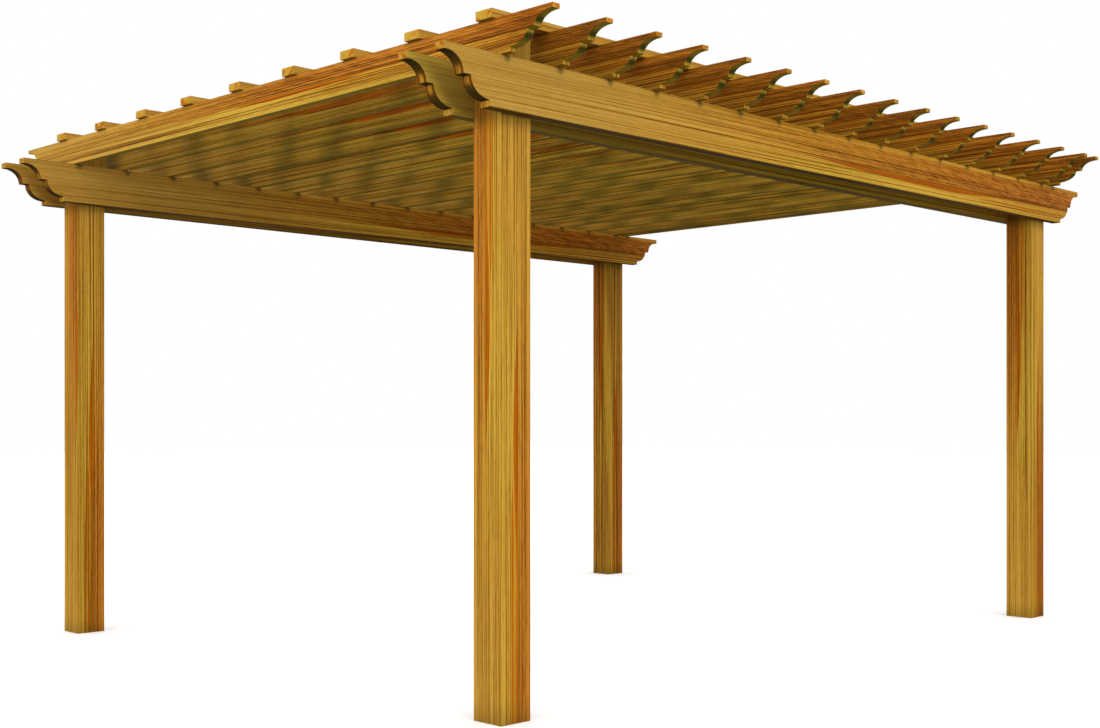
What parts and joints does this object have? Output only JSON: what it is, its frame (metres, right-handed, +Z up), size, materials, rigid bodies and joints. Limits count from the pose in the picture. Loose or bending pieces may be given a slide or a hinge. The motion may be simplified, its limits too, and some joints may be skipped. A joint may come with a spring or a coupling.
{
  "type": "wooden pergola",
  "caption": "Open garden pergola of square posts and paired beams with scrolled ends, carrying closely spaced rafters and flat slats.",
  "frame": {"origin": "centre of the plan, on the ground", "axes": "+X along the beams, +Y along the rafters from front to back, +Z up"},
  "size_m": [4.936, 4.026, 2.634],
  "materials": {
    "post": "honey stained softwood, straight vertical grain",
    "beam": "honey stained softwood, long straight grain",
    "rafter": "orange-brown stained softwood, banded grain",
    "slat": "honey stained softwood, long straight grain"
  },
  "bodies": {
    "root": {"post_front_left": "post", "post_front_right": "post", "post_back_left": "post", "post_back_right": "post", "beam_front_outer": "beam", "beam_front_inner": "beam", "beam_back_inner": "beam", "beam_back_outer": "beam", "rafter_01": "rafter", "rafter_02": "rafter", "rafter_03": "rafter", "rafter_04": "rafter", "rafter_05": "rafter", "rafter_06": "rafter", "rafter_07": "rafter", "rafter_08": "rafter", "rafter_09": "rafter", "rafter_10": "rafter", "rafter_11": "rafter", "rafter_12": "rafter", "rafter_13": "rafter", "rafter_14": "rafter", "rafter_15": "rafter", "rafter_16": "rafter", "rafter_17": "rafter", "slat_01": "slat", "slat_02": "slat", "slat_03": "slat", "slat_04": "slat", "slat_05": "slat", "slat_06": "slat", "slat_07": "slat", "slat_08": "slat", "slat_09": "slat"}
  },
  "joints": []
}
